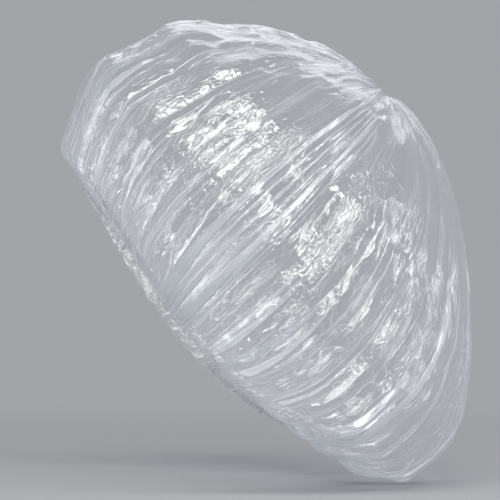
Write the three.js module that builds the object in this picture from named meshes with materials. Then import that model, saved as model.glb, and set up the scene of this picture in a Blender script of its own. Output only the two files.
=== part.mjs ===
// A clear disposable shower cap in the attitude in which it is worn: a film crown drawn into gathers,
// the folded hem round its opening, and the elastic loop that lies in the hem.
// Millimetres, +Z up. The wearer faces -Y, and +X is the wearer's left.
// The origin is the centre of the opening, level with the hem's lower edge at the brow and at the nape.
import * as THREE from 'three';

// The opening leans back from level by this angle, in degrees: high at the brow and low at the nape
const wornTilt = 45.9;

// The opening, to the middle of the hem
const openingLength = 204;
const openingWidth = 165;

// The hem drops over the ears, below the line from brow to nape, and drops further behind them
const earDrop = 19;
const behindEarDrop = 10;

// The crown: how far it reaches from the opening's centre, and how high its fullest ring lies there
const crownHeight = 156;
const frontReach = 139;
const frontFullHeight = 60;
const rearReach = 146;
const rearFullHeight = 31;
const sideReach = 117;
const sideFullHeight = 52;

// How square the crown's shoulders are: 2 is an ellipse, more is squarer
const frontSquareness = 1.85;
const rearSquareness = 1.85;
const sideSquareness = 2.0;

// The crown's pole lies forward of the opening's centre, in a shallow dimple
const poleForward = 18;
const poleDimple = 3;

// The pouch of loose film at the nape hangs by this much
const rearDroop = 12;

// The film and its gathers. A film of 0.02 mm stands here as a wall that can be handled as a solid
const filmWall = 0.6;
const gatherCount = 24;
const edgeGatherDepth = 2;
const collarGatherDepth = 6;
const fullGatherDepth = 4;
const gatherUnevenness = 0.35;
const deepGatherCount = 5;
const shallowGatherCount = 8;
const collarSpread = 3;
const collarRise = 3;

// The elastic, a flat band on edge, and the lap weld that joins its ends
const elasticThickness = 0.8;
const elasticWidth = 2.4;
const joinLength = 10;
const joinProud = 0.1;

// The hem: a tunnel round the elastic, in four lengths, of which the front one stretches forward
const hemWall = 0.8;
const hemFrontSpan = 84;
const hemRearSpan = 84;

// Clearances
const tunnelClearance = 0.3;
const seatGap = 0.3;
const endGap = 0.3;

// Steps of the meshes
const crownLowSteps = 4;
const crownHighSteps = 8;
const hemStepLength = 6;

// Sizes that follow from those above
const tunnelThickness = elasticThickness + 2 * tunnelClearance;
const tunnelHeight = elasticWidth + 2 * tunnelClearance;
const hemThickness = tunnelThickness + 2 * hemWall;
const hemHeight = tunnelHeight + 2 * hemWall;
const filmStart = hemHeight + seatGap;
const halfLength = openingLength / 2;
const halfWidth = openingWidth / 2;
const filmColumns = 2 * gatherCount;
const poleRow = 1 + crownLowSteps + crownHighSteps;

// Finishes
const clearFilm = { color: 0xdfe5ec, roughness: 0.12, opacity: 0.35 };
const sealedHem = { color: 0xe6e4e8, roughness: 0.25, opacity: 0.6 };
const knittedElastic = { color: 0xf2f0ea, roughness: 0.7, opacity: 1 };
const weldedElastic = { color: 0xece9e0, roughness: 0.5, opacity: 1 };

const rightAngle = Math.PI / 2;
const frontAngle = -rightAngle;
const rearAngle = rightAngle;

// The distance from the centre to an ellipse, at a direction given by its cosine and sine
function ellipseRadius(cos, sin, alongX, alongY) {
  return 1 / Math.hypot(cos / alongX, sin / alongY);
}

// How far the hem has dropped, in the direction of a point
function hemDrop(x, y) {
  const side = x / halfWidth;
  const end = y / halfLength;
  const reach = Math.hypot(side, end);
  return (side / reach) ** 2 * (earDrop + behindEarDrop * (end / reach));
}

// The crown's own sizes in one direction: the front's, rear's and side's, blended round the cap
function crownAt(angle) {
  const cos = Math.cos(angle);
  const sin = Math.sin(angle);
  const rear = sin > 0;
  const end = sin * sin;
  const blend = (endSize, sideSize) => endSize * end + sideSize * (1 - end);
  const swell = Math.sin(deepGatherCount * angle) * Math.cos(shallowGatherCount * angle);
  return {
    edge: ellipseRadius(cos, sin, halfWidth, halfLength),
    reach: ellipseRadius(cos, sin, sideReach, rear ? rearReach : frontReach),
    fullHeight: blend(rear ? rearFullHeight : frontFullHeight, sideFullHeight),
    squareness: blend(rear ? rearSquareness : frontSquareness, sideSquareness),
    droop: rear ? rearDroop * end : 0,
    filmFoot: filmStart - hemDrop(cos, sin),
    unevenness: 1 + gatherUnevenness * swell,
  };
}

// A point of the crown's smooth outer surface, as a radius and a height, how far the gathers move it, and
// how far forward its ring lies. Row 0 stands on the hem, the next row is the collar above it, and the last
// row is the crown's pole.
function crownPoint(crown, row) {
  if (row === 0) {
    const radius = crown.edge + filmWall / 2;
    return { radius, height: crown.filmFoot, gather: edgeGatherDepth, lean: 0, forward: 0 };
  }
  const collarRadius = crown.edge + collarSpread;
  const collarHeight = crown.filmFoot + collarRise;
  const lowTurn = ((row - 1) / crownLowSteps) * rightAngle;
  if (lowTurn <= rightAngle) {
    return {
      radius: collarRadius + (crown.reach - collarRadius) * Math.sin(lowTurn),
      height: collarHeight
        + (crown.fullHeight - collarHeight) * (1 - Math.cos(lowTurn))
        - crown.droop * Math.sin(2 * lowTurn),
      gather: crown.unevenness
        * THREE.MathUtils.lerp(collarGatherDepth, fullGatherDepth, Math.sin(lowTurn)),
      lean: 0,
      forward: 0,
    };
  }
  const highTurn = ((row - 1 - crownLowSteps) / crownHighSteps) * rightAngle;
  const power = 2 / crown.squareness;
  const across = Math.max(Math.cos(highTurn), 0);
  const rise = Math.sin(highTurn);
  const dimple = row === poleRow ? poleDimple : 0;
  return {
    radius: crown.reach * across ** power,
    height: crown.fullHeight + (crownHeight - crown.fullHeight) * rise ** power - dimple,
    gather: crown.unevenness * fullGatherDepth * across,
    lean: highTurn,
    forward: poleForward * rise ** 2,
  };
}

// The way out of the film at a row, square to the slope between the neighbouring rows
function wayOut(crown, row) {
  if (row === 0) {
    return new THREE.Vector2(1, 0);
  }
  if (row === poleRow) {
    return new THREE.Vector2(0, 1);
  }
  const below = crownPoint(crown, row - 1);
  const above = crownPoint(crown, row + 1);
  return new THREE.Vector2(above.height - below.height, below.radius - above.radius).normalize();
}

// A point on one side of the film: the gathers push every other line of points out and the rest in
function filmPoint(column, row, inner) {
  const angle = (column / filmColumns) * 2 * Math.PI;
  const crown = crownAt(angle);
  const { radius, height, gather, lean, forward } = crownPoint(crown, row);
  const shift = (column % 2 === 0 ? 0.5 : -0.5) * gather;
  const wall = wayOut(crown, row).multiplyScalar(inner ? filmWall : 0);
  const out = radius + shift * Math.cos(lean) - wall.x;
  const up = height + shift * Math.sin(lean) - wall.y;
  return new THREE.Vector3(out * Math.cos(angle), out * Math.sin(angle) - forward, up);
}

// The film: a lathe of a closed wall, inside from the pole to the hem and outside back to the pole,
// whose points are then moved to the crown's gathered shape
function filmCrown() {
  const rows = Array.from({ length: poleRow + 1 }, (_, row) => row);
  const wall = [
    ...rows.toReversed().map((row) => ({ row, inner: true })),
    ...rows.map((row) => ({ row, inner: false })),
  ];
  const profile = wall.map(({ row }) => new THREE.Vector2(poleRow - row, row));
  const geometry = new THREE.LatheGeometry(profile, filmColumns);
  const position = geometry.getAttribute('position');
  for (let column = 0; column <= filmColumns; column += 1) {
    wall.forEach(({ row, inner }, place) => {
      const { x, y, z } = filmPoint(column % filmColumns, row, inner);
      position.setXYZ(column * wall.length + place, x, y, z);
    });
  }
  geometry.computeVertexNormals();
  return geometry;
}

// The hem's middle line before it drops, from one angle to another
class HemLine extends THREE.Curve {
  constructor(from, to) {
    super();
    this.from = from;
    this.to = to;
  }

  getPoint(share, target = new THREE.Vector3()) {
    const angle = THREE.MathUtils.lerp(this.from, this.to, share);
    return target.set(halfWidth * Math.cos(angle), halfLength * Math.sin(angle), hemHeight / 2);
  }
}

// The angle that a short length takes up on the hem's line
function angleOf(length, angle) {
  return length / Math.hypot(halfWidth * Math.sin(angle), halfLength * Math.cos(angle));
}

function rectangle(Outline, height, thickness) {
  const outline = new Outline();
  outline.moveTo(-height / 2, -thickness / 2);
  outline.lineTo(height / 2, -thickness / 2);
  outline.lineTo(height / 2, thickness / 2);
  outline.lineTo(-height / 2, thickness / 2);
  outline.closePath();
  return outline;
}

// A section, drawn with its height first, run along the hem's line and dropped with it
function alongHem(section, from, to) {
  const line = new HemLine(from, to);
  const steps = Math.max(2, Math.round(line.getLength() / hemStepLength));
  const geometry = new THREE.ExtrudeGeometry(section, { steps, extrudePath: line, bevelEnabled: false });
  const position = geometry.getAttribute('position');
  for (let point = 0; point < position.count; point += 1) {
    const drop = hemDrop(position.getX(point), position.getY(point));
    position.setZ(point, position.getZ(point) - drop);
  }
  geometry.computeVertexNormals();
  return geometry;
}

function hemLength(from, to) {
  const section = rectangle(THREE.Shape, hemHeight, hemThickness);
  section.holes.push(rectangle(THREE.Path, tunnelHeight, tunnelThickness));
  return alongHem(section, from + angleOf(endGap / 2, from), to - angleOf(endGap / 2, to));
}

function elasticLoop() {
  const end = angleOf(joinLength / 2 + endGap, rearAngle);
  const section = rectangle(THREE.Shape, elasticWidth, elasticThickness);
  return alongHem(section, rearAngle + end, rearAngle + 2 * Math.PI - end);
}

function elasticLap() {
  const end = angleOf(joinLength / 2, rearAngle);
  const section = rectangle(THREE.Shape, elasticWidth + 2 * joinProud, elasticThickness + 2 * joinProud);
  return alongHem(section, rearAngle - end, rearAngle + end);
}

function piece(name, geometry, finish) {
  const transparent = finish.opacity < 1;
  const material = new THREE.MeshStandardMaterial({ ...finish, metalness: 0, transparent });
  const mesh = new THREE.Mesh(geometry, material);
  mesh.name = name;
  return mesh;
}

const halfFront = THREE.MathUtils.degToRad(hemFrontSpan / 2);
const halfRear = THREE.MathUtils.degToRad(hemRearSpan / 2);
const wholeTurn = 2 * Math.PI;

const cap = new THREE.Group();
cap.rotation.x = -THREE.MathUtils.degToRad(wornTilt);
cap.add(
  piece('film_crown', filmCrown(), clearFilm),
  piece('hem_front', hemLength(frontAngle - halfFront, frontAngle + halfFront), sealedHem),
  piece('hem_left', hemLength(frontAngle + halfFront, rearAngle - halfRear), sealedHem),
  piece('hem_rear', hemLength(rearAngle - halfRear, rearAngle + halfRear), sealedHem),
  piece('hem_right', hemLength(rearAngle + halfRear, frontAngle + wholeTurn - halfFront), sealedHem),
  piece('elastic_band', elasticLoop(), knittedElastic),
  piece('elastic_join', elasticLap(), weldedElastic),
);

const part = new THREE.Group();
part.add(cap);

export default part;
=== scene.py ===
"""The looks of a clear disposable shower cap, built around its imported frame.

The crown is cut as a flat disc of film, folded and drawn up over a dome to the hem. The hem is a thin
gathered tunnel, and a flat elastic loop with a welded lap runs inside it.
"""

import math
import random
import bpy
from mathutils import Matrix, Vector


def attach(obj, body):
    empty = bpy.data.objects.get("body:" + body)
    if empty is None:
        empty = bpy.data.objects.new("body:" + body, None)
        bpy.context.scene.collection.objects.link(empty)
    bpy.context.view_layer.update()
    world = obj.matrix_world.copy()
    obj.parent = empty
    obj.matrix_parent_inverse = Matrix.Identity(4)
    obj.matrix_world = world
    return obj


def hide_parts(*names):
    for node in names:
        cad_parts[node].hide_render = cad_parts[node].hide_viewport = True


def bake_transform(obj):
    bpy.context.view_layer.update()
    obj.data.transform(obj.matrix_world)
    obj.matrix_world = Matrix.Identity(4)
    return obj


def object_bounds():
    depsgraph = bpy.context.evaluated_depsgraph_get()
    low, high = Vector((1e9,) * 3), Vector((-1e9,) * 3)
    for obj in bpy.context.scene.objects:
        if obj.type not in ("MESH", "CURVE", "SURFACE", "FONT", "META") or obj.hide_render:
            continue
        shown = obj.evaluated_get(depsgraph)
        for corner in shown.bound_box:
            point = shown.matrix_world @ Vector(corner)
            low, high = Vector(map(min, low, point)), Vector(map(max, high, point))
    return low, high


bl_info = {
    "name": "Clear Shower Cap",
    "version": (1, 0, 0),
    "blender": (4, 5, 0),
    "location": "View3D > Sidebar > Shower Cap",
    "description": "Builds the film crown, the hem and the elastic of a clear shower cap",
    "category": "Add Mesh",
}

import bmesh
import bpy
import numpy as np
from mathutils import Euler, Matrix, Vector, noise

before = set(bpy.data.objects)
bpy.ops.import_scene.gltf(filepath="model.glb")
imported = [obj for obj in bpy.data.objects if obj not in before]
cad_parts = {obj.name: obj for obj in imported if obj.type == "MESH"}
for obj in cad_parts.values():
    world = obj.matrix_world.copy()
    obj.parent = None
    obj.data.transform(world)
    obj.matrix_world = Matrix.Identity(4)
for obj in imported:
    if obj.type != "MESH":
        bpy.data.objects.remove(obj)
CAD_BOX = [list(corner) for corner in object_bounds()]
TURN = 2 * math.pi
SEED = 21

# Keeps a division clear of zero
TINY = 1e-12

# The cap's outline before its hem drops over the ears, in metres, from the crown's pole down to the hem:
# how far forward (negative), back or out it lies, and how high above the opening.
FRONT_OUTLINE = [
    (-0.018, 0.152), (-0.027, 0.1560), (-0.046, 0.1540), (-0.062, 0.1490), (-0.083, 0.1390),
    (-0.0985, 0.1290), (-0.1115, 0.1150), (-0.1250, 0.1030), (-0.1310, 0.0940), (-0.1320, 0.0840),
    (-0.1365, 0.0690), (-0.1405, 0.0560), (-0.1390, 0.0450), (-0.1300, 0.0260), (-0.1220, 0.0110),
    (-0.1165, 0.0052), (-0.1100, 0.0035), (-0.1025, 0.0050),
]
REAR_OUTLINE = [
    (-0.018, 0.152), (-0.0115, 0.1580), (-0.004, 0.1602), (0.010, 0.1595), (0.024, 0.1560), (0.045, 0.1485),
    (0.066, 0.1375), (0.088, 0.1210), (0.107, 0.1040), (0.1265, 0.0850), (0.1395, 0.0690), (0.1465, 0.0560),
    (0.1495, 0.0400), (0.1465, 0.0165), (0.134, 0.0045), (0.118, -0.0010), (0.1025, 0.0050),
]
SIDE_OUTLINE = [
    (0.000, 0.152), (0.013, 0.1555), (0.036, 0.151), (0.066, 0.138), (0.092, 0.116), (0.110, 0.086),
    (0.117, 0.056), (0.114, 0.033), (0.102, 0.016), (0.090, 0.008), (0.083, 0.0050),
]

# The long folds: their direction round the cap in degrees, from the left ear to the rear, how many lie
# side by side, and how far down the film they begin.
LONG_FOLDS = [
    (-83, 2, 0.34), (-75, 2, 0.26), (-67, 1, 0.38), (-61, 1, 0.30), (-53, 2, 0.28), (-44, 2, 0.24),
    (-37, 1, 0.42), (-30, 1, 0.56), (-19, 1, 0.46),
    (-7, 6, 0.14), (9, 1, 0.50), (18, 1, 0.40), (26, 2, 0.28), (33, 2, 0.32), (45, 2, 0.32), (54, 2, 0.24),
    (67, 3, 0.28), (80, 2, 0.20), (93, 3, 0.26), (108, 1, 0.46), (121, 2, 0.28), (137, 3, 0.36),
    (152, 1, 0.48), (166, 2, 0.26), (181, 4, 0.22), (197, 1, 0.50), (209, 2, 0.34), (224, 3, 0.28),
    (240, 1, 0.44), (255, 2, 0.32), (267, 1, 0.40),
]

# Where the film between the folds is loose and crumpled: the direction round the cap in degrees, how far
# down the film, and the size of the patch.
LOOSE_PATCHES = [
    (-27, 0.64, 0.042), (-50, 0.68, 0.022), (-23, 0.79, 0.024), (4, 0.68, 0.026), (-12, 0.55, 0.022),
    (9, 0.50, 0.018), (46, 0.56, 0.022), (60, 0.78, 0.024), (100, 0.60, 0.036), (150, 0.66, 0.040),
    (196, 0.58, 0.034), (238, 0.70, 0.040), (275, 0.62, 0.030),
]

# A bundle has at least this many long folds, and it draws the film taut over this angle for each of them.
# From the pole the film stays taut along the first of these ways down, and is slack from the second.
BUNDLE_COUNT = 3
BUNDLE_REACH = math.radians(2.0)
POLE_TAUT = (0.10, 0.45)

# How many cells of noise lie round the cap and down the film: for the drift of the folds, for the large
# and the small crumples, for the ripples and for the streaks along the film.
DRIFT_CELLS = (1.6, 2.6)
LARGE_CELLS = (5.0, 9.0)
SMALL_CELLS = (12.0, 17.0)
RIPPLE_CELLS = (11.0, 2.0)
STREAK_CELLS = (35.0, 2.4)

# How far the folds drift sideways in radians, the size of the scattered loose patches, and the star of
# creases at the pole: how high it stands, how many rays it has and how often they spread.
FOLD_DRIFT = 0.06
PATCH_SIZE = 0.06
STAR_HEIGHT = 0.0014
STAR_RAYS = 17
STAR_SPREADS = 3

# The film's haze: where its gathers crowd at the hem, in its creases, along the edges of its folds as a
# painted highlight that stands in for the gloss on their tight bends, where it turns away from the eye, and
# the share of the haze's light that comes through from behind.
CROWDED_HAZE = 0.27
CREASE_HAZE = 0.24
PAINTED_EDGE_HIGHLIGHT = 0.60
RIM_HAZE = 0.32
LIGHT_THROUGH = 0.32

# The film's gloss where it faces the eye, how much it gains where it turns away, and its roughness.
FACING_SHINE = 0.13
RIM_SHINE = 0.67
FILM_ROUGHNESS = 0.05

# The lights: the name, place, size, power in watts and tint of each.
LIGHTS = [
    ("key_light", (1.10, -0.14, 1.14), (0.95, 0.95), 17, (1.0, 0.97, 0.93)),
    ("side_light", (0.90, 0.76, 1.12), (0.4, 0.4), 6, (1.0, 0.98, 0.95)),
    ("near_light", (1.5, 0.50, 0.28), (0.35, 0.55), 3.5, (1.0, 0.98, 0.95)),
    ("rear_light", (0.15, 1.45, 0.20), (0.3, 1.0), 4, (0.94, 0.97, 1.0)),
    ("front_light", (0.35, -1.4, 0.30), (0.7, 1.0), 5, (0.97, 0.98, 1.0)),
    ("far_light", (-1.2, 0.25, 1.1), (1.4, 0.9), 5, (0.95, 0.96, 1.0)),
]


class CapSizes(bpy.types.PropertyGroup):
    """Sizes of the cap as it is worn"""

    worn_tilt: bpy.props.FloatProperty(
        name="Worn tilt", description="How far the opening leans back from level",
        default=math.radians(45.9), subtype="ANGLE")
    opening_length: bpy.props.FloatProperty(
        name="Opening length", description="Brow to nape, to the middle of the hem",
        default=0.204, unit="LENGTH")
    opening_width: bpy.props.FloatProperty(
        name="Opening width", description="Ear to ear, to the middle of the hem",
        default=0.165, unit="LENGTH")
    ear_drop: bpy.props.FloatProperty(
        name="Ear drop", description="How far the hem drops over the ears", default=0.019, unit="LENGTH")
    behind_ear_drop: bpy.props.FloatProperty(
        name="Drop behind the ears", description="How much further the hem drops behind the ears",
        default=0.010, unit="LENGTH")
    flat_diameter: bpy.props.FloatProperty(
        name="Flat diameter", description="The film's width before it is gathered",
        default=0.535, unit="LENGTH")
    fold_lift: bpy.props.FloatProperty(
        name="Fold lift", description="How far apart the layers of a fold lie",
        default=0.0009, unit="LENGTH")
    puff: bpy.props.FloatProperty(
        name="Puff", description="How far the film swells out between two folds",
        default=0.0030, unit="LENGTH")
    crumple: bpy.props.FloatProperty(
        name="Crumple", description="How deep the larger creases of the loose film are",
        default=0.0060, unit="LENGTH")
    hem_height: bpy.props.FloatProperty(
        name="Hem height", description="From the hem's lower edge to its seal line",
        default=0.0046, unit="LENGTH")
    hem_thickness: bpy.props.FloatProperty(
        name="Hem thickness", description="Through the tunnel", default=0.0018, unit="LENGTH")
    hem_gathers: bpy.props.IntProperty(
        name="Hem gathers", description="Small gathers round the hem", default=96)
    gather_depth: bpy.props.FloatProperty(
        name="Gather depth", description="How deep the hem's small gathers are",
        default=0.0012, unit="LENGTH")
    elastic_width: bpy.props.FloatProperty(
        name="Elastic width", description="The elastic's width, along the hem's height",
        default=0.0024, unit="LENGTH")
    elastic_thickness: bpy.props.FloatProperty(
        name="Elastic thickness", description="Through the elastic", default=0.0008, unit="LENGTH")
    join_length: bpy.props.FloatProperty(
        name="Join length", description="The lap where the elastic's ends are welded",
        default=0.010, unit="LENGTH")


class CapFinish(bpy.types.PropertyGroup):
    """Colours and finishes of the cap"""

    film_tint: bpy.props.FloatVectorProperty(
        name="Film tint", description="Colour of light that passes the clear film",
        default=(0.975, 0.985, 0.995), subtype="COLOR", size=3)
    # The milky white is the film's own; its cool cast is painted light, standing in for bluish light on the
    # folds.
    haze_and_light_tint: bpy.props.FloatVectorProperty(
        name="Haze tint", description="Colour of the film's milky folds",
        default=(0.90, 0.92, 0.95), subtype="COLOR", size=3)
    hem_tint: bpy.props.FloatVectorProperty(
        name="Hem tint", description="Colour of the sealed, layered hem",
        default=(0.88, 0.89, 0.92), subtype="COLOR", size=3)
    elastic_tint: bpy.props.FloatVectorProperty(
        name="Elastic tint", description="Colour of the knitted elastic",
        default=(0.80, 0.80, 0.79), subtype="COLOR", size=3)
    weld_tint: bpy.props.FloatVectorProperty(
        name="Weld tint", description="Colour of the welded lap",
        default=(0.76, 0.75, 0.71), subtype="COLOR", size=3)
    film_haze: bpy.props.FloatProperty(
        name="Film haze", description="How milky one layer of the film is",
        default=0.03, subtype="FACTOR")
    fold_haze: bpy.props.FloatProperty(
        name="Fold haze", description="How much milkier the film is where it is folded",
        default=0.68, subtype="FACTOR")
    hem_haze: bpy.props.FloatProperty(
        name="Hem haze", description="How milky the hem's tunnel is",
        default=0.12, subtype="FACTOR")
    gather_haze: bpy.props.FloatProperty(
        name="Gather haze", description="How much milkier the hem is on its gathers",
        default=0.24, subtype="FACTOR")


class StageLook(bpy.types.PropertyGroup):
    """The floor, the lights and the camera"""

    backdrop: bpy.props.FloatVectorProperty(
        name="Backdrop", description="Colour of the floor and of what is behind the cap",
        default=(0.36, 0.37, 0.39), subtype="COLOR", size=3)
    view_centre: bpy.props.FloatVectorProperty(
        name="View centre", description="The point in the middle of the picture",
        default=(0.0, 0.0252, 0.033), subtype="XYZ", size=3)
    view_width: bpy.props.FloatProperty(
        name="View width", description="How much of the cap's middle plane the picture spans",
        default=0.28, unit="LENGTH")
    camera_distance: bpy.props.FloatProperty(
        name="Camera distance", description="From the camera to the middle plane",
        default=1.6, unit="LENGTH")


def hem_to_row(points, sizes):
    """Turns points of the opening's own frame into the worn attitude."""
    turn = np.array(Matrix.Rotation(-sizes.worn_tilt, 3, "X"))
    return points @ turn.T


def hem_drop(points, sizes):
    """How far the hem has dropped, in the direction of each point."""
    side = points[..., 0] / sizes.opening_width
    end = points[..., 1] / sizes.opening_length
    reach = np.hypot(side, end) + TINY
    return (side / reach) ** 2 * (sizes.ear_drop + sizes.behind_ear_drop * end / reach)


def smoothstep(low, high, value):
    """A smooth change from 0 to 1 between two limits."""
    share = np.clip((value - low) / (high - low), 0, 1)
    return share * share * (3 - 2 * share)


def window(way, rise, fall):
    """1 along a stretch of the film, and 0 before and after it, with a smooth rise and fall."""
    return smoothstep(*rise, way) * (1 - smoothstep(*fall, way))


def turn_from(angle, heading):
    """How far each direction lies from a heading in degrees, the short way round."""
    return (angle - math.radians(heading) + math.pi) % TURN - math.pi


def smooth_line(points, count, steps=32):
    """A smooth line through a few points, as count points an equal way apart."""
    known = np.array(points)
    ends = np.vstack([2 * known[0] - known[1], known, 2 * known[-1] - known[-2]])
    step = np.linspace(0, 1, steps, endpoint=False)[:, None]
    stretches = []
    for before, start, stop, after in zip(ends, ends[1:], ends[2:], ends[3:]):
        bend = 2 * before - 5 * start + 4 * stop - after
        twist = 3 * start - before - 3 * stop + after
        stretches.append(0.5 * (2 * start + (stop - before) * step + bend * step**2 + twist * step**3))
    line = np.vstack(stretches + [known[-1:]])
    run = np.concatenate([[0], np.cumsum(np.hypot(*np.diff(line, axis=0).T))])
    wanted = np.linspace(0, run[-1], count)
    return np.stack([np.interp(wanted, run, line[:, side]) for side in (0, 1)], axis=1)


class Dome:
    """The smooth shape that the film is drawn over, by direction round the cap and way down from its pole."""

    LINE_SAMPLES = 400
    RING_SAMPLES = 181
    NORMAL_STEP = 0.01
    DROP_FROM = 0.60

    def __init__(self, sizes):
        self.sizes = sizes
        self.ways = np.linspace(0, 1, self.LINE_SAMPLES)
        self.front = smooth_line(FRONT_OUTLINE, len(self.ways))
        self.rear = smooth_line(REAR_OUTLINE, len(self.ways))
        self.side = smooth_line(SIDE_OUTLINE, len(self.ways))

    def outline(self, line, way):
        return np.interp(way, self.ways, line[:, 0]), np.interp(way, self.ways, line[:, 1])

    def point(self, angle, way):
        cos = np.cos(angle)
        sin = np.sin(angle)
        axis = FRONT_OUTLINE[0][0] * (1 - way) ** 2
        front_place, front_height = self.outline(self.front, way)
        rear_place, rear_height = self.outline(self.rear, way)
        side_reach, side_height = self.outline(self.side, way)
        end_reach = np.where(sin > 0, rear_place - axis, axis - front_place)
        end_height = np.where(sin > 0, rear_height, front_height)
        reach = side_reach * end_reach / (np.hypot(end_reach * cos, side_reach * sin) + TINY)
        height = side_height * cos**2 + end_height * sin**2
        points = np.stack([reach * cos, axis + reach * sin, height], axis=-1)
        direction = np.stack(np.broadcast_arrays(cos, sin), axis=-1)
        points[..., 2] -= hem_drop(direction, self.sizes) * smoothstep(self.DROP_FROM, 1.0, way)
        return points

    def out(self, angle, way):
        """The unit normal, away from the inside."""
        step = self.NORMAL_STEP
        way = np.clip(way, step, 1 - step)
        round_the_cap = self.point(angle + step, way) - self.point(angle - step, way)
        down = self.point(angle, way + step) - self.point(angle, way - step)
        normal = np.cross(down, round_the_cap)
        return normal / (np.linalg.norm(normal, axis=-1, keepdims=True) + TINY)

    def girth(self, way):
        """The length round the dome at each way down."""
        angles = np.linspace(0, TURN, self.RING_SAMPLES)
        ring = self.point(angles[None, :], np.asarray(way)[:, None])
        return np.linalg.norm(np.diff(ring, axis=1), axis=2).sum(axis=1)


def wander(points):
    """A smooth noise value for each point."""
    return np.array([noise.noise(point) for point in points])


def facets(points):
    """Flat-sided bumps and hollows with sharp ridges between them, in cells of one unit."""
    heights = []
    for point in points:
        own, *others = noise.voronoi(point)[1]
        here = Vector(point)
        depth = min(((own + other) / 2 - here).dot((other - own).normalized()) for other in others)
        heights.append(depth * noise.cell(own))
    return np.array(heights)


def round_place(angle, way, around, down):
    """A place for noise, with a scale of its own round the cap and another down the film."""
    return np.stack([np.cos(angle) * around, np.sin(angle) * around, way * down], axis=-1)


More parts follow.
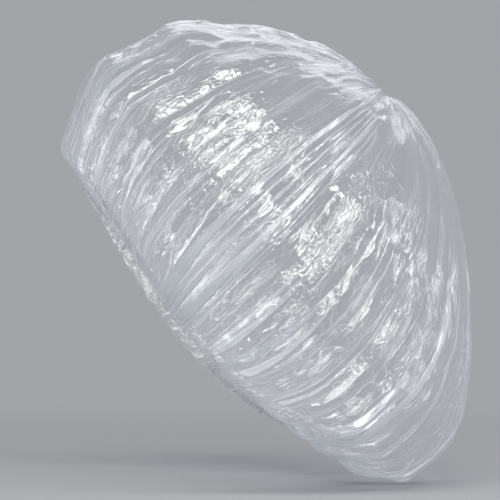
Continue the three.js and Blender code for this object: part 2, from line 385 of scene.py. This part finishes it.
class Folds:
    """The film's folds, each a leg that doubles back, with a pane of film between two of them."""

    # The columns of points on a leg, the angle between those on a pane, the fewest steps on a pane, and how
    # far from its edges, as a share of a step, it has a column more
    LEG_COLUMNS = 4
    PANE_STEP = math.radians(1.0)
    LEAST_STEPS = 3
    EDGE_SHARE = 0.3

    # How far down the film a fold grows, the share of the spare film that the folds take up, how deep one
    # may be for the room it has, how wide it is before it doubles back, and when it counts as a full layer
    GROWTH = 0.22
    TAKE_UP = 0.55
    DEEPEST = 1.7
    PLEAT_WIDTH = 0.3
    FULL_DEPTH = math.radians(1.2)

    # The layers lie closer together from here down to the hem, by this share
    PRESSED_FROM = 0.86
    PRESSED = 0.5

    # Long folds: how far they lean in radians, the degrees between two side by side, how late some begin,
    # their least weight and what chance adds to it, and their milkiness: what all have, what each fold that
    # lies side by side adds, and the most
    LEAN = 0.14
    BUNDLE_STEP = (2.1, 2.7)
    LATE_BEGIN = 0.14
    LONG_WEIGHT = (0.35, 2.0)
    LEAST_MILK = 0.55
    MILK_EACH = 0.25
    MOST_MILK = 1.5

    # Small gathers: the angle between them, how uneven that is, between which ways down they begin, their
    # least weight and what chance adds to it, and their milkiness
    GATHER_STEP = math.radians(6.4)
    GATHER_UNEVENNESS = 0.25
    GATHER_BEGIN = (0.55, 0.84)
    GATHER_WEIGHT = (0.15, 1.4)
    GATHER_MILK = 0.65

    # Panes: the widths between which they become loose, the milkiness of the folds on both sides between
    # which they become hazy, and how hazy they become
    TAUT_PANE = math.radians(2)
    LOOSE_PANE = math.radians(9)
    HAZY_BESIDE = (0.8, 1.3)
    PANE_HAZE = 0.45

    # The film is laid out flat for its grain by the folds of this ring, as a share of the way down
    GRAIN_RING = 0.68

    def __init__(self, sizes, dome, rings):
        heading, lean, weight, begin, side, milk = self.fold_lines(random.Random(SEED))
        self.count = len(heading)
        self.rings = rings
        way = np.linspace(0, 1, rings + 1)[:, None]
        room = (np.roll(heading, -1) - np.roll(heading, 1)) % TURN / 2
        grown = smoothstep(begin, begin + self.GROWTH, way)
        flat_round = math.pi * sizes.flat_diameter * way[:, 0]
        spare = np.maximum(flat_round / np.maximum(dome.girth(way[:, 0]), TINY), 1.0) - 1
        spare[0] = 0
        portion = weight * grown
        portion /= np.maximum(portion.sum(axis=1, keepdims=True), TINY)
        depth = np.minimum(self.TAKE_UP * math.pi * spare[:, None] * portion, self.DEEPEST * room)
        pressed = 1 - self.PRESSED * smoothstep(self.PRESSED_FROM, 1.0, way)
        self.centre = heading + lean * (1 - way)
        self.span = self.PLEAT_WIDTH * room * (1 - grown) - depth * grown
        self.layered = grown * np.clip(depth / self.FULL_DEPTH, 0, 1)
        self.milky = milk * self.layered
        self.lift = side * sizes.fold_lift * self.layered * pressed
        gap = np.append(heading[1:], heading[0] + TURN) - heading
        unit, leg, along = [], [], []
        pane_steps = np.maximum(self.LEAST_STEPS, np.rint(gap / self.PANE_STEP)).astype(int)
        for index, count in enumerate(pane_steps):
            steps = [0, self.EDGE_SHARE, *range(1, count), count - self.EDGE_SHARE]
            unit += [index] * (self.LEG_COLUMNS + len(steps))
            leg += [True] * self.LEG_COLUMNS + [False] * len(steps)
            along += [step / self.LEG_COLUMNS for step in range(self.LEG_COLUMNS)]
            along += [step / count for step in steps]
        self.unit = np.array(unit)
        self.leg = np.array(leg)
        self.along = np.array(along)

    def fold_lines(self, rng):
        """Each fold's direction, lean, weight, the way down at which it begins, its side and milkiness."""
        lines = self.long_lines(rng)
        return np.array(sorted(lines + self.gather_lines(lines, rng))).T

    def long_lines(self, rng):
        """The long folds in their order round the cap."""
        least, more = self.LONG_WEIGHT
        lines = []
        for heading, count, begin in LONG_FOLDS:
            lean = rng.uniform(-self.LEAN, self.LEAN)
            side = rng.choice((-1, 1))
            milk = min(self.MOST_MILK, self.LEAST_MILK + self.MILK_EACH * count)
            for place in range(count):
                spread = (place - (count - 1) / 2) * rng.uniform(*self.BUNDLE_STEP)
                direction = math.radians(heading + spread)
                weight = least + more * rng.random() ** 2
                late = rng.uniform(0, self.LATE_BEGIN)
                lines.append((direction, lean, weight, begin + late, side, milk))
        return sorted(lines)

    def gather_lines(self, lines, rng):
        """The small gathers that fill the gaps between the long folds."""
        least, more = self.GATHER_WEIGHT
        uneven = self.GATHER_UNEVENNESS
        gathers = []
        for here, after in zip(lines, lines[1:] + [(lines[0][0] + TURN, *lines[0][1:])]):
            gap = after[0] - here[0]
            extra = max(0, round(gap / self.GATHER_STEP) - 1)
            for place in range(extra):
                share = (place + 1 + rng.uniform(-uneven, uneven)) / (extra + 1)
                lean = here[1] + (after[1] - here[1]) * share
                weight = least + more * rng.random() ** 3
                begin = rng.uniform(*self.GATHER_BEGIN)
                side = rng.choice((-1, 1))
                gathers.append((here[0] + gap * share, lean, weight, begin, side, self.GATHER_MILK))
        return gathers

    def lay(self, ring, column):
        """Each point's direction, how far its layer is lifted, how loose and folded it is, where its fold
        edge takes a painted highlight, and how far the film swells there."""
        here = self.unit[column]
        after = (here + 1) % self.count
        leg = self.leg[column]
        along = self.along[column]
        span = self.span[ring, here]
        pane_from = self.centre[ring, here] + span / 2
        pane_to = self.centre[ring, after] + TURN * (after < here) - self.span[ring, after] / 2
        eased = 0.5 - 0.5 * np.cos(math.pi * along)
        angle = np.where(leg, pane_from + span * (eased - 1), pane_from + (pane_to - pane_from) * along)
        lift = self.lift[ring, here]
        lift_after = self.lift[ring, after]
        lifted = np.where(leg, lift * (1 - 2 * along), -lift + (lift_after + lift) * along)
        loose = np.where(leg, 0, smoothstep(self.TAUT_PANE, self.LOOSE_PANE, pane_to - pane_from))
        milky = self.milky[ring, here]
        beside = np.minimum(milky, self.milky[ring, after])
        folded = np.where(leg, milky, self.PANE_HAZE * smoothstep(*self.HAZY_BESIDE, beside))
        # The fold line at the start of a leg gets a painted highlight: milky white standing in for the gloss
        # on the tight bend.
        edge_highlight_mask = np.where(along == 0, self.layered[ring, here], 0)
        return angle, lifted, loose, folded, edge_highlight_mask, np.sin(math.pi * along)

    def grain_turns(self):
        """Each column's direction when the film is laid out flat, for its grain."""
        columns = np.arange(len(self.unit))
        angle = self.lay(np.full(len(columns), round(self.GRAIN_RING * self.rings)), columns)[0]
        steps = np.abs(np.diff(angle, append=angle[0] + TURN))
        return TURN * np.cumsum(steps) / steps.sum()


def loose_patches(angle, way, sizes):
    """How near each point is to the middle of a loose patch, from 0 to 1."""
    round_reach = 0.6 * sizes.opening_length
    down_reach = sizes.flat_diameter / 2
    slack = np.zeros_like(angle)
    for heading, down, size in LOOSE_PATCHES:
        far = np.hypot(turn_from(angle, heading) * round_reach, (way - down) * down_reach) / size
        slack = np.maximum(slack, np.exp(-far**2))
    return slack


def tautness(angle, way):
    """How taut the film is drawn, from 0 to 1: near the pole, and along each bundle of long folds."""
    taut = 1 - smoothstep(*POLE_TAUT, way)
    for heading, count, _ in LONG_FOLDS:
        if count >= BUNDLE_COUNT:
            far = turn_from(angle, heading) / (BUNDLE_REACH * count)
            taut = np.maximum(taut, np.exp(-far**2))
    return taut


def crumples(angle, way, slack, taut):
    """The large and small creases of the film between its folds, as heights to both sides of 0."""
    finer = (0.5 + 0.7 * slack) * (1 - 0.8 * taut)
    heights = facets(round_place(angle, way, *LARGE_CELLS))
    heights += finer * facets(round_place(angle, way, *SMALL_CELLS))
    heights += 0.12 * wander(round_place(angle, way, *RIPPLE_CELLS))
    return heights - 0.25


def pole_star(angle, way):
    """The creases that run out from the pole, from -1 to 1."""
    rays = np.sin(STAR_RAYS * angle + np.sin(STAR_SPREADS * angle))
    return rays * window(way, (0.01, 0.10), (0.12, 0.40))


def drawn_up(flat, sizes, rings):
    """Where each point of the flat film lies on the cap, and what its material needs to know of it."""
    dome = Dome(sizes)
    folds = Folds(sizes, dome, rings)
    columns = len(folds.unit)
    way = np.hypot(flat[:, 0], flat[:, 1]) / (sizes.flat_diameter / 2)
    ring = np.rint(way * rings).astype(int)
    column = np.rint(np.arctan2(flat[:, 1], flat[:, 0]) / TURN * columns).astype(int) % columns
    angle, lifted, loose, folded, edge_highlight_mask, swell = folds.lay(ring, column)
    drift = wander(round_place(angle, way, *DRIFT_CELLS)) * np.sin(math.pi * way)
    angle = angle + FOLD_DRIFT * drift
    smooth = dome.point(angle, way)
    scattered = smoothstep(0.05, 0.5, wander(smooth / PATCH_SIZE))
    patch = np.maximum(loose_patches(angle, way, sizes), scattered)
    slack = (0.25 + 0.75 * loose) * (0.3 + 0.7 * patch)
    taut = tautness(angle, way)
    puff = sizes.puff * swell * loose * window(way, (0.25, 0.8), (0.92, 1.0))
    crumple = sizes.crumple * crumples(angle, way, slack, taut) * window(way, (0.0, 0.12), (0.88, 0.99))
    raised = lifted + puff + crumple + STAR_HEIGHT * pole_star(angle, way)
    worn = smooth + dome.out(angle, way) * raised[:, None]

    # Near the hem the gathers crowd, most of all at the brow and the nape
    crowded = CROWDED_HAZE * smoothstep(0.74, 0.97, way) * (0.6 + 0.4 * np.abs(np.sin(angle)))
    turn = folds.grain_turns()[column]
    return worn, {
        "grain_place": round_place(turn, 0 * way, 41 + 53 * way, 0.0),
        "streak_place": round_place(turn, way, *STREAK_CELLS),
        "fold_layer": np.maximum(folded, crowded),
        "fold_edge_highlight": edge_highlight_mask,
        "slack": slack * (1 - 0.7 * np.minimum(folded, 1)),
        "taut": taut,
    }


def add_node(tree, kind, inputs=None, **settings):
    """A node with its settings, whose inputs are values or other nodes' outputs."""
    made = tree.nodes.new(kind)
    for name, value in settings.items():
        setattr(made, name, value)
    for name, value in (inputs or {}).items():
        socket = made.inputs[name]
        if isinstance(value, bpy.types.NodeSocket):
            tree.links.new(value, socket)
        else:
            socket.default_value = value
    return made


def math_node(tree, operation, *values, clamp=False):
    made = add_node(tree, "ShaderNodeMath", dict(enumerate(values)), operation=operation, use_clamp=clamp)
    return made.outputs[0]


def scaled_node(tree, vector, scale):
    made = add_node(tree, "ShaderNodeVectorMath", {0: vector, 1: scale}, operation="MULTIPLY")
    return made.outputs[0]


def span_node(tree, value, low, high, to_low=0.0, to_high=1.0):
    """A smooth change of a value between two limits."""
    inputs = {"Value": value, "From Min": low, "From Max": high, "To Min": to_low, "To Max": to_high}
    made = add_node(tree, "ShaderNodeMapRange", inputs, interpolation_type="SMOOTHSTEP")
    return made.outputs["Result"]


def noise_node(tree, vector, scale, detail):
    made = add_node(tree, "ShaderNodeTexNoise", {"Vector": vector, "Scale": scale, "Detail": detail})
    return made.outputs["Fac"]


def facet_node(tree, vector, scale, tilt, groove):
    """Flat-sided bumps and hollows with sharp grooves between them."""
    inputs = {"Vector": vector, "Scale": scale}
    ridge = add_node(
        tree, "ShaderNodeTexVoronoi", inputs, voronoi_dimensions="2D", feature="DISTANCE_TO_EDGE")
    cell = add_node(tree, "ShaderNodeTexVoronoi", inputs, voronoi_dimensions="2D")
    parts = add_node(tree, "ShaderNodeSeparateXYZ", {"Vector": cell.outputs["Color"]})
    up = math_node(tree, "MULTIPLY_ADD", parts.outputs["X"], 2.0 * tilt, -tilt)
    raised = math_node(tree, "MULTIPLY", ridge.outputs["Distance"], up)
    sunk = span_node(tree, ridge.outputs["Distance"], 0.0, 0.2, to_low=-groove, to_high=0.0)
    return math_node(tree, "ADD", raised, sunk)


def new_material(name):
    material = bpy.data.materials.new(name)
    material.use_nodes = True
    material.node_tree.nodes.clear()
    return material, material.node_tree


def crinkle_group():
    """Film crinkles: a height in millimetres for bump, and where the film is creased white."""
    known = bpy.data.node_groups.get("film_crinkle")
    if known:
        return known
    tree = bpy.data.node_groups.new("film_crinkle", "ShaderNodeTree")
    for name, kind in (("Grain", "Vector"), ("Streaks", "Vector"), ("Slack", "Float"), ("Taut", "Float")):
        tree.interface.new_socket(name=name, in_out="INPUT", socket_type=f"NodeSocket{kind}")
    for name in ("Height", "Crease"):
        tree.interface.new_socket(name=name, in_out="OUTPUT", socket_type="NodeSocketFloat")
    given = add_node(tree, "NodeGroupInput")
    result = add_node(tree, "NodeGroupOutput")
    grain = given.outputs["Grain"]
    streaks = given.outputs["Streaks"]
    bend = add_node(
        tree, "ShaderNodeTexNoise", {"Vector": grain, "Scale": 0.35, "Detail": 2.0}, noise_dimensions="2D")
    bent = add_node(
        tree, "ShaderNodeVectorMath", {0: bend.outputs["Color"], 1: (1.8, 1.8, 1.8), 2: grain},
        operation="MULTIPLY_ADD").outputs[0]
    large = facet_node(tree, bent, scale=0.7, tilt=0.52, groove=0.28)
    small = facet_node(tree, bent, scale=1.9, tilt=0.26, groove=0.07)
    ripple = noise_node(tree, scaled_node(tree, streaks, (0.2, 0.2, 26.0)), scale=1.0, detail=1.0)
    rippled = math_node(tree, "MULTIPLY_ADD", ripple, 0.55, math_node(tree, "ADD", small, large))
    loose = math_node(tree, "MULTIPLY", rippled, given.outputs["Slack"])
    streak = noise_node(tree, streaks, scale=1.0, detail=3.0)
    ridge = math_node(tree, "ABSOLUTE", math_node(tree, "SUBTRACT", streak, 0.5))
    depth = math_node(tree, "MULTIPLY_ADD", given.outputs["Taut"], -0.8, -0.25)
    height = math_node(tree, "MULTIPLY_ADD", ridge, depth, loose)
    sharp = span_node(tree, ridge, 0.0, 0.03, to_low=1.0, to_high=0.0)
    scattered = span_node(tree, noise_node(tree, streaks, scale=0.4, detail=2.0), 0.42, 0.60)
    crease = math_node(tree, "MULTIPLY", sharp, scattered)
    tree.links.new(height, result.inputs["Height"])
    tree.links.new(crease, result.inputs["Crease"])
    return tree


def film_material(name, tint, clear_tint, haze, folded_haze):
    """Clear polythene: light passes it, its folds are milky with a painted highlight along their edges, and
    its surface is glossy and crinkled.
    """
    material, tree = new_material(name)

    def attribute(kind, output="Fac"):
        return add_node(tree, "ShaderNodeAttribute", attribute_name=kind).outputs[output]

    streaks = attribute("streak_place", "Vector")
    crinkle = add_node(
        tree, "ShaderNodeGroup",
        {"Grain": attribute("grain_place", "Vector"), "Streaks": streaks, "Slack": attribute("slack"),
         "Taut": attribute("taut")},
        node_tree=crinkle_group())
    bump = add_node(
        tree, "ShaderNodeBump", {"Strength": 1.0, "Distance": 0.001, "Height": crinkle.outputs["Height"]})
    normal = bump.outputs["Normal"]
    facing = add_node(tree, "ShaderNodeLayerWeight", {"Blend": 0.5, "Normal": normal})
    rim = math_node(tree, "POWER", facing.outputs["Facing"], 4.0)

    milk = noise_node(tree, scaled_node(tree, streaks, (3.0, 3.0, 0.6)), scale=1.0, detail=2.0)
    uneven = span_node(tree, milk, 0.35, 0.65, to_low=0.4, to_high=1.25)
    layered = math_node(tree, "MULTIPLY", attribute("fold_layer"), uneven)
    amount = math_node(tree, "MULTIPLY_ADD", layered, folded_haze, haze)
    amount = math_node(tree, "MULTIPLY_ADD", crinkle.outputs["Crease"], CREASE_HAZE, amount)
    # Painted highlight: the fold edges are made milky white to stand in for the gloss on their tight bends.
    amount = math_node(tree, "MULTIPLY_ADD", attribute("fold_edge_highlight"), PAINTED_EDGE_HIGHLIGHT, amount)
    amount = math_node(tree, "MULTIPLY_ADD", rim, RIM_HAZE, amount, clamp=True)

    colour = (*tint, 1)
    clear = add_node(tree, "ShaderNodeBsdfTransparent", {"Color": (*clear_tint, 1)})
    front = add_node(tree, "ShaderNodeBsdfDiffuse", {"Color": colour, "Normal": normal})
    behind = add_node(tree, "ShaderNodeBsdfTranslucent", {"Color": colour, "Normal": normal})
    milky = add_node(
        tree, "ShaderNodeMixShader", {0: LIGHT_THROUGH, 1: front.outputs[0], 2: behind.outputs[0]})
    body = add_node(tree, "ShaderNodeMixShader", {0: amount, 1: clear.outputs[0], 2: milky.outputs[0]})
    shine = math_node(tree, "MULTIPLY_ADD", rim, RIM_SHINE, FACING_SHINE, clamp=True)
    gloss = add_node(
        tree, "ShaderNodeBsdfGlossy",
        {"Color": (1, 1, 1, 1), "Roughness": FILM_ROUGHNESS, "Normal": normal})
    surface = add_node(tree, "ShaderNodeMixShader", {0: shine, 1: body.outputs[0], 2: gloss.outputs[0]})
    add_node(tree, "ShaderNodeOutputMaterial", {"Surface": surface.outputs[0]})
    return material


def elastic_material(name, tint, pitch):
    """Thin stretched elastic: rows of stitches across the band, matt, with light between its threads and
    painted shade in the hollows of its stitches.
    """
    material, tree = new_material(name)
    place = add_node(tree, "ShaderNodeAttribute", attribute_name="band_place").outputs["Vector"]
    parts = add_node(tree, "ShaderNodeSeparateXYZ", {"Vector": place})
    along = math_node(tree, "SINE", math_node(tree, "MULTIPLY", parts.outputs["X"], TURN / pitch))
    rows = math_node(tree, "COSINE", math_node(tree, "MULTIPLY", parts.outputs["Y"], TURN / (1.3 * pitch)))
    stitch = math_node(tree, "MULTIPLY", along, rows)
    worn = noise_node(tree, place, scale=300.0, detail=3.0)
    # Painted shade: the stitches are darker where their bump is low, in their hollows; the worn noise then
    # varies the elastic's own tone at random.
    shade_and_wear = span_node(tree, stitch, -1.0, 1.0, to_low=0.82, to_high=1.0)
    shade_and_wear = math_node(tree, "MULTIPLY", shade_and_wear, span_node(tree, worn, 0.2, 0.8, to_low=0.9, to_high=1.04))
    roughness = span_node(tree, worn, 0.2, 0.8, to_low=0.62, to_high=0.82)
    colour = add_node(tree, "ShaderNodeVectorMath", {0: tint, "Scale": shade_and_wear}, operation="SCALE")
    bump = add_node(tree, "ShaderNodeBump", {"Strength": 0.7, "Distance": 0.0003, "Height": stitch})
    shader = add_node(
        tree, "ShaderNodeBsdfPrincipled",
        {"Base Color": colour.outputs[0], "Roughness": roughness, "Normal": bump.outputs["Normal"]})
    clear = add_node(tree, "ShaderNodeBsdfTransparent")
    thin = add_node(tree, "ShaderNodeMixShader", {0: 0.45, 1: clear.outputs[0], 2: shader.outputs[0]})
    add_node(tree, "ShaderNodeOutputMaterial", {"Surface": thin.outputs[0]})
    return material


def rolled_grid(columns, rows, place, join=1e-6):
    """A grid whose points are set by how far along and across it they lie, joined where its sides meet."""
    bm = bmesh.new()
    bmesh.ops.create_grid(bm, x_segments=columns, y_segments=rows, size=0.5)
    for vert in bm.verts:
        vert.co = place(vert.co.x + 0.5, vert.co.y + 0.5)
    bmesh.ops.remove_doubles(bm, verts=bm.verts, dist=join)
    bmesh.ops.recalc_face_normals(bm, faces=bm.faces)
    return bm


def to_object(bm, name, material):
    """Ends a bmesh as a smooth-shaded object in the scene."""
    mesh = bpy.data.meshes.new(name)
    bm.to_mesh(mesh)
    bm.free()
    mesh.shade_smooth()
    mesh.materials.append(material)
    made = bpy.data.objects.new(name, mesh)
    bpy.context.scene.collection.objects.link(made)
    return made


def read_points(mesh):
    points = np.empty(len(mesh.vertices) * 3)
    mesh.vertices.foreach_get("co", points)
    return points.reshape(-1, 3)


def write_points(mesh, points):
    mesh.vertices.foreach_set("co", np.ascontiguousarray(points, dtype=np.float32).ravel())
    mesh.update()


def write_attribute(mesh, name, values):
    """Keeps a number or a vector with each point, for the materials."""
    if values.ndim == 1:
        mesh.attributes.new(name, "FLOAT", "POINT").data.foreach_set("value", values.astype(np.float32))
    else:
        made = mesh.attributes.new(name, "FLOAT_VECTOR", "POINT")
        made.data.foreach_set("vector", values.astype(np.float32).ravel())


def follow_front(piece):
    """Bakes a piece's placement into its points."""
    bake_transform(piece)


def along_hem(turn, across, height, sizes):
    """Points beside the hem's middle line, dropped with it: out from the line and up from its lower edge."""
    around = np.stack([np.cos(turn), np.sin(turn)], axis=1)
    centre = around * [sizes.opening_width / 2, sizes.opening_length / 2]
    outward = around * [sizes.opening_length, sizes.opening_width]
    outward /= np.linalg.norm(outward, axis=1, keepdims=True)
    return np.column_stack([centre + outward * across[:, None], height - hem_drop(centre, sizes)])


def gathered_tunnel(turn, section, sizes):
    """Where each point of the hem's tunnel lies, and what its material needs to know of it."""
    ruffle_height = 0.0007
    wave_height = 0.0004
    overlap = 0.0008
    share = 0.5 + 0.5 * np.sin(section)
    drift = wander(round_place(turn, share, 7.0, 0.6))
    phase = sizes.hem_gathers * turn + 9.0 * drift
    depth = 0.45 + 1.1 * np.abs(wander(round_place(turn, share, 4.0, 0.4) + 9.0))
    gather = np.sin(phase + 0.7 * np.sin(phase))
    across = 0.5 * sizes.hem_thickness * np.cos(section) * (1 - 0.5 * smoothstep(0.7, 1.0, share))
    across = across + 0.5 * sizes.gather_depth * depth * gather * (1 - 0.45 * share)
    lean = 0.5 * TURN / sizes.hem_gathers * np.cos(phase) * (0.4 + 0.3 * drift)
    ruffle = ruffle_height * wander(round_place(turn, share, 22.0, 0.3)) + wave_height * np.cos(phase)
    height = (sizes.hem_height + overlap) * share + ruffle * (1 - share)
    return along_hem(turn + lean, across, height, sizes), {
        "grain_place": round_place(turn, 0 * share, 60.0 + 2 * share, 0.0),
        "streak_place": round_place(turn, share, 30.0, 0.5),
        "fold_layer": smoothstep(-0.4, 0.9, gather * depth),
        # Each gather's fold line gets a painted highlight: milky white standing in for the gloss on its tight
        # bend.
        "fold_edge_highlight": smoothstep(0.80, 1.0, np.abs(np.cos(phase / 2))) * depth * 0.8,
        "slack": np.full(len(turn), 0.35),
    }


class CAP_OT_seal_hem(bpy.types.Operator):
    """Make the thin gathered tunnel round the opening"""

    bl_idname = "shower_cap.seal_hem"
    bl_label = "Seal Hem"
    columns = 1200
    rows = 12
    tube = 0.2

    def execute(self, context):
        sizes = context.scene.cap_sizes
        finish = context.scene.cap_finish

        def ring_place(along, across):
            turn = TURN * along
            section = TURN * across
            reach = 1 + self.tube * math.cos(section)
            return reach * math.cos(turn), reach * math.sin(turn), self.tube * math.sin(section)

        bm = rolled_grid(self.columns, self.rows, ring_place)
        material = film_material(
            "hem_film", finish.hem_tint, finish.film_tint, finish.hem_haze, finish.gather_haze)
        hem = to_object(bm, "hem_gathered", material)
        points = read_points(hem.data)
        turn = np.arctan2(points[:, 1], points[:, 0])
        section = np.arctan2(points[:, 2], np.hypot(points[:, 0], points[:, 1]) - 1)
        worn, known = gathered_tunnel(turn, section, sizes)
        for name, values in known.items():
            write_attribute(hem.data, name, values)
        write_points(hem.data, hem_to_row(worn, sizes))
        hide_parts("hem_front", "hem_left", "hem_rear", "hem_right")
        follow_front(hem)
        return {"FINISHED"}


class CAP_OT_gather_film(bpy.types.Operator):
    """Cut the film as a flat disc, fold it and draw it up to the hem"""

    bl_idname = "shower_cap.gather_film"
    bl_label = "Gather Film"
    rings = 112

    def execute(self, context):
        sizes = context.scene.cap_sizes
        finish = context.scene.cap_finish
        radius = sizes.flat_diameter / 2
        columns = len(Folds(sizes, Dome(sizes), self.rings).unit)

        def disc_place(along, across):
            return radius * across * math.cos(TURN * along), radius * across * math.sin(TURN * along), 0

        bm = rolled_grid(columns, self.rings, disc_place)
        material = film_material(
            "crown_film", finish.haze_and_light_tint, finish.film_tint, finish.film_haze, finish.fold_haze)
        film = to_object(bm, "film_crown_gathered", material)
        worn, known = drawn_up(read_points(film.data), sizes, self.rings)
        for name, values in known.items():
            write_attribute(film.data, name, values)
        write_points(film.data, hem_to_row(worn, sizes))
        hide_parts("film_crown")
        follow_front(film)
        return {"FINISHED"}


def band_along_hem(name, sizes, thickness, width, start, sweep, steps, material):
    """A length of the elastic along the hem's middle line, with rounded edges."""
    bm = bmesh.new()
    corners = [(-0.5, -0.5), (0.5, -0.5), (0.5, 0.5), (-0.5, 0.5)]
    verts = [bm.verts.new((1 + x * thickness, 0, z * width)) for x, z in corners]
    edges = [bm.edges.new((verts[i], verts[(i + 1) % 4])) for i in range(4)]
    bmesh.ops.bevel(
        bm, geom=verts + edges, offset=0.3 * thickness, affect="VERTICES", segments=3, profile=0.5,
        material=-1)
    section = list(bm.verts) + list(bm.edges)
    bmesh.ops.rotate(bm, verts=bm.verts, cent=(0, 0, 0), matrix=Matrix.Rotation(start, 3, "Z"))
    bmesh.ops.spin(bm, geom=section, cent=(0, 0, 0), axis=(0, 0, 1), angle=sweep, steps=steps)
    bmesh.ops.holes_fill(bm, edges=[edge for edge in bm.edges if edge.is_boundary])
    bmesh.ops.recalc_face_normals(bm, faces=bm.faces)
    band = to_object(bm, name, material)
    points = read_points(band.data)
    turn = np.arctan2(points[:, 1], points[:, 0])
    across = np.hypot(points[:, 0], points[:, 1]) - 1
    worn = along_hem(turn, across, points[:, 2] + sizes.hem_height / 2, sizes)
    length = turn * (sizes.opening_width + sizes.opening_length) / 4
    write_attribute(band.data, "band_place", np.stack([length, points[:, 2], across], axis=1))
    write_points(band.data, hem_to_row(worn, sizes))
    return band


class CAP_OT_thread_elastic(bpy.types.Operator):
    """Lay the flat elastic loop in the hem, and weld its ends with a lap at the nape"""

    bl_idname = "shower_cap.thread_elastic"
    bl_label = "Thread Elastic"

    def execute(self, context):
        sizes = context.scene.cap_sizes
        finish = context.scene.cap_finish
        half_join = sizes.join_length / sizes.opening_width
        rear = math.pi / 2
        loop = band_along_hem(
            "elastic_loop", sizes, thickness=sizes.elastic_thickness, width=sizes.elastic_width,
            start=rear + half_join, sweep=TURN - 2 * half_join, steps=300,
            material=elastic_material("knitted_elastic", finish.elastic_tint, pitch=0.0009))
        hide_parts("elastic_band")
        follow_front(loop)
        lap = band_along_hem(
            "elastic_lap", sizes, thickness=1.25 * sizes.elastic_thickness, width=1.08 * sizes.elastic_width,
            start=rear - half_join, sweep=2 * half_join, steps=16,
            material=elastic_material("welded_elastic", finish.weld_tint, pitch=0.0016))
        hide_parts("elastic_join")
        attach(lap, "cap")
        return {"FINISHED"}


def soft_box(name, place, target, size, power, tint):
    """A studio light that looks at a point."""
    light = bpy.data.lights.new(name, "AREA")
    light.shape = "RECTANGLE"
    light.size, light.size_y = size
    light.energy = power
    light.color = tint
    lamp = bpy.data.objects.new(name, light)
    lamp.location = place
    lamp.rotation_euler = (target - Vector(place)).to_track_quat("-Z", "Y").to_euler()
    bpy.context.scene.collection.objects.link(lamp)


class CAP_OT_set_stage(bpy.types.Operator):
    """Lay the floor, set the lights and the camera"""

    bl_idname = "shower_cap.set_stage"
    bl_label = "Set Stage"
    floor_radius = 6.0
    floor_gap = 0.002
    lit_reach = (0.15, 0.9)

    def execute(self, context):
        scene = context.scene
        look = scene.stage_look
        scene.view_settings.view_transform = "Standard"
        self.lay_floor(look)
        self.light_world(scene, look)
        for name, place, size, power, tint in LIGHTS:
            soft_box(name, place, Vector(look.view_centre), size, power, tint)
        self.place_camera(scene, look)
        return {"FINISHED"}

    def lay_floor(self, look):
        """A floor that is lit near the cap and passes into the backdrop further away."""
        bm = bmesh.new()
        bmesh.ops.create_circle(bm, cap_ends=True, segments=96, radius=self.floor_radius)
        bmesh.ops.translate(bm, verts=bm.verts, vec=(0, 0, CAD_BOX[0][2] - self.floor_gap))
        material, tree = new_material("pale_floor")
        place = add_node(tree, "ShaderNodeTexCoord").outputs["Object"]
        far = add_node(tree, "ShaderNodeVectorMath", {0: place}, operation="LENGTH").outputs["Value"]
        pale = [1.12 * value for value in look.backdrop]
        lit = add_node(tree, "ShaderNodeBsdfDiffuse", {"Color": (*pale, 1)})
        glow = add_node(tree, "ShaderNodeEmission", {"Color": (*look.backdrop, 1), "Strength": 1.0})
        both = add_node(
            tree, "ShaderNodeMixShader",
            {0: span_node(tree, far, *self.lit_reach), 1: lit.outputs[0], 2: glow.outputs[0]})
        add_node(tree, "ShaderNodeOutputMaterial", {"Surface": both.outputs[0]})
        to_object(bm, "floor", material)

    def light_world(self, scene, look):
        world = bpy.data.worlds.new("studio")
        scene.world = world
        world.use_nodes = True
        tree = world.node_tree
        tree.nodes.clear()
        path = add_node(tree, "ShaderNodeLightPath")
        seen = math_node(tree, "MAXIMUM", path.outputs["Is Camera Ray"], path.outputs["Is Glossy Ray"])
        seen = math_node(tree, "MAXIMUM", seen, path.outputs["Is Transmission Ray"])
        fill = add_node(tree, "ShaderNodeBackground", {"Color": (0.95, 0.97, 1.0, 1), "Strength": 0.25})
        behind = add_node(tree, "ShaderNodeBackground", {"Color": (*look.backdrop, 1), "Strength": 1.0})
        both = add_node(tree, "ShaderNodeMixShader", {0: seen, 1: fill.outputs[0], 2: behind.outputs[0]})
        add_node(tree, "ShaderNodeOutputWorld", {"Surface": both.outputs[0]})

    def place_camera(self, scene, look):
        camera = bpy.data.cameras.new("camera")
        camera.lens = camera.sensor_width * look.camera_distance / look.view_width
        camera.clip_end = 50
        seat = bpy.data.objects.new("camera", camera)
        seat.location = Vector(look.view_centre) + Vector((look.camera_distance, 0, 0))
        seat.rotation_euler = Euler((math.pi / 2, 0, math.pi / 2))
        scene.collection.objects.link(seat)
        scene.camera = seat
        scene.cycles.transparent_max_bounces = 40


class CAP_PT_sidebar(bpy.types.Panel):
    """Lists the steps that build the cap"""

    bl_idname = "CAP_PT_sidebar"
    bl_label = "Shower Cap"
    bl_space_type = "VIEW_3D"
    bl_region_type = "UI"
    bl_category = "Shower Cap"

    def draw(self, context):
        for step in STEPS:
            self.layout.operator(step.bl_idname)


STEPS = (CAP_OT_seal_hem, CAP_OT_gather_film, CAP_OT_thread_elastic, CAP_OT_set_stage)
CLASSES = (CapSizes, CapFinish, StageLook, *STEPS, CAP_PT_sidebar)


def register():
    for cls in CLASSES:
        bpy.utils.register_class(cls)
    bpy.types.Scene.cap_sizes = bpy.props.PointerProperty(type=CapSizes)
    bpy.types.Scene.cap_finish = bpy.props.PointerProperty(type=CapFinish)
    bpy.types.Scene.stage_look = bpy.props.PointerProperty(type=StageLook)


def unregister():
    del bpy.types.Scene.stage_look
    del bpy.types.Scene.cap_finish
    del bpy.types.Scene.cap_sizes
    for cls in reversed(CLASSES):
        bpy.utils.unregister_class(cls)


def main():
    register()
    bpy.ops.shower_cap.seal_hem()
    bpy.ops.shower_cap.gather_film()
    bpy.ops.shower_cap.thread_elastic()
    bpy.ops.shower_cap.set_stage()


if __name__ == "__main__":
    main()
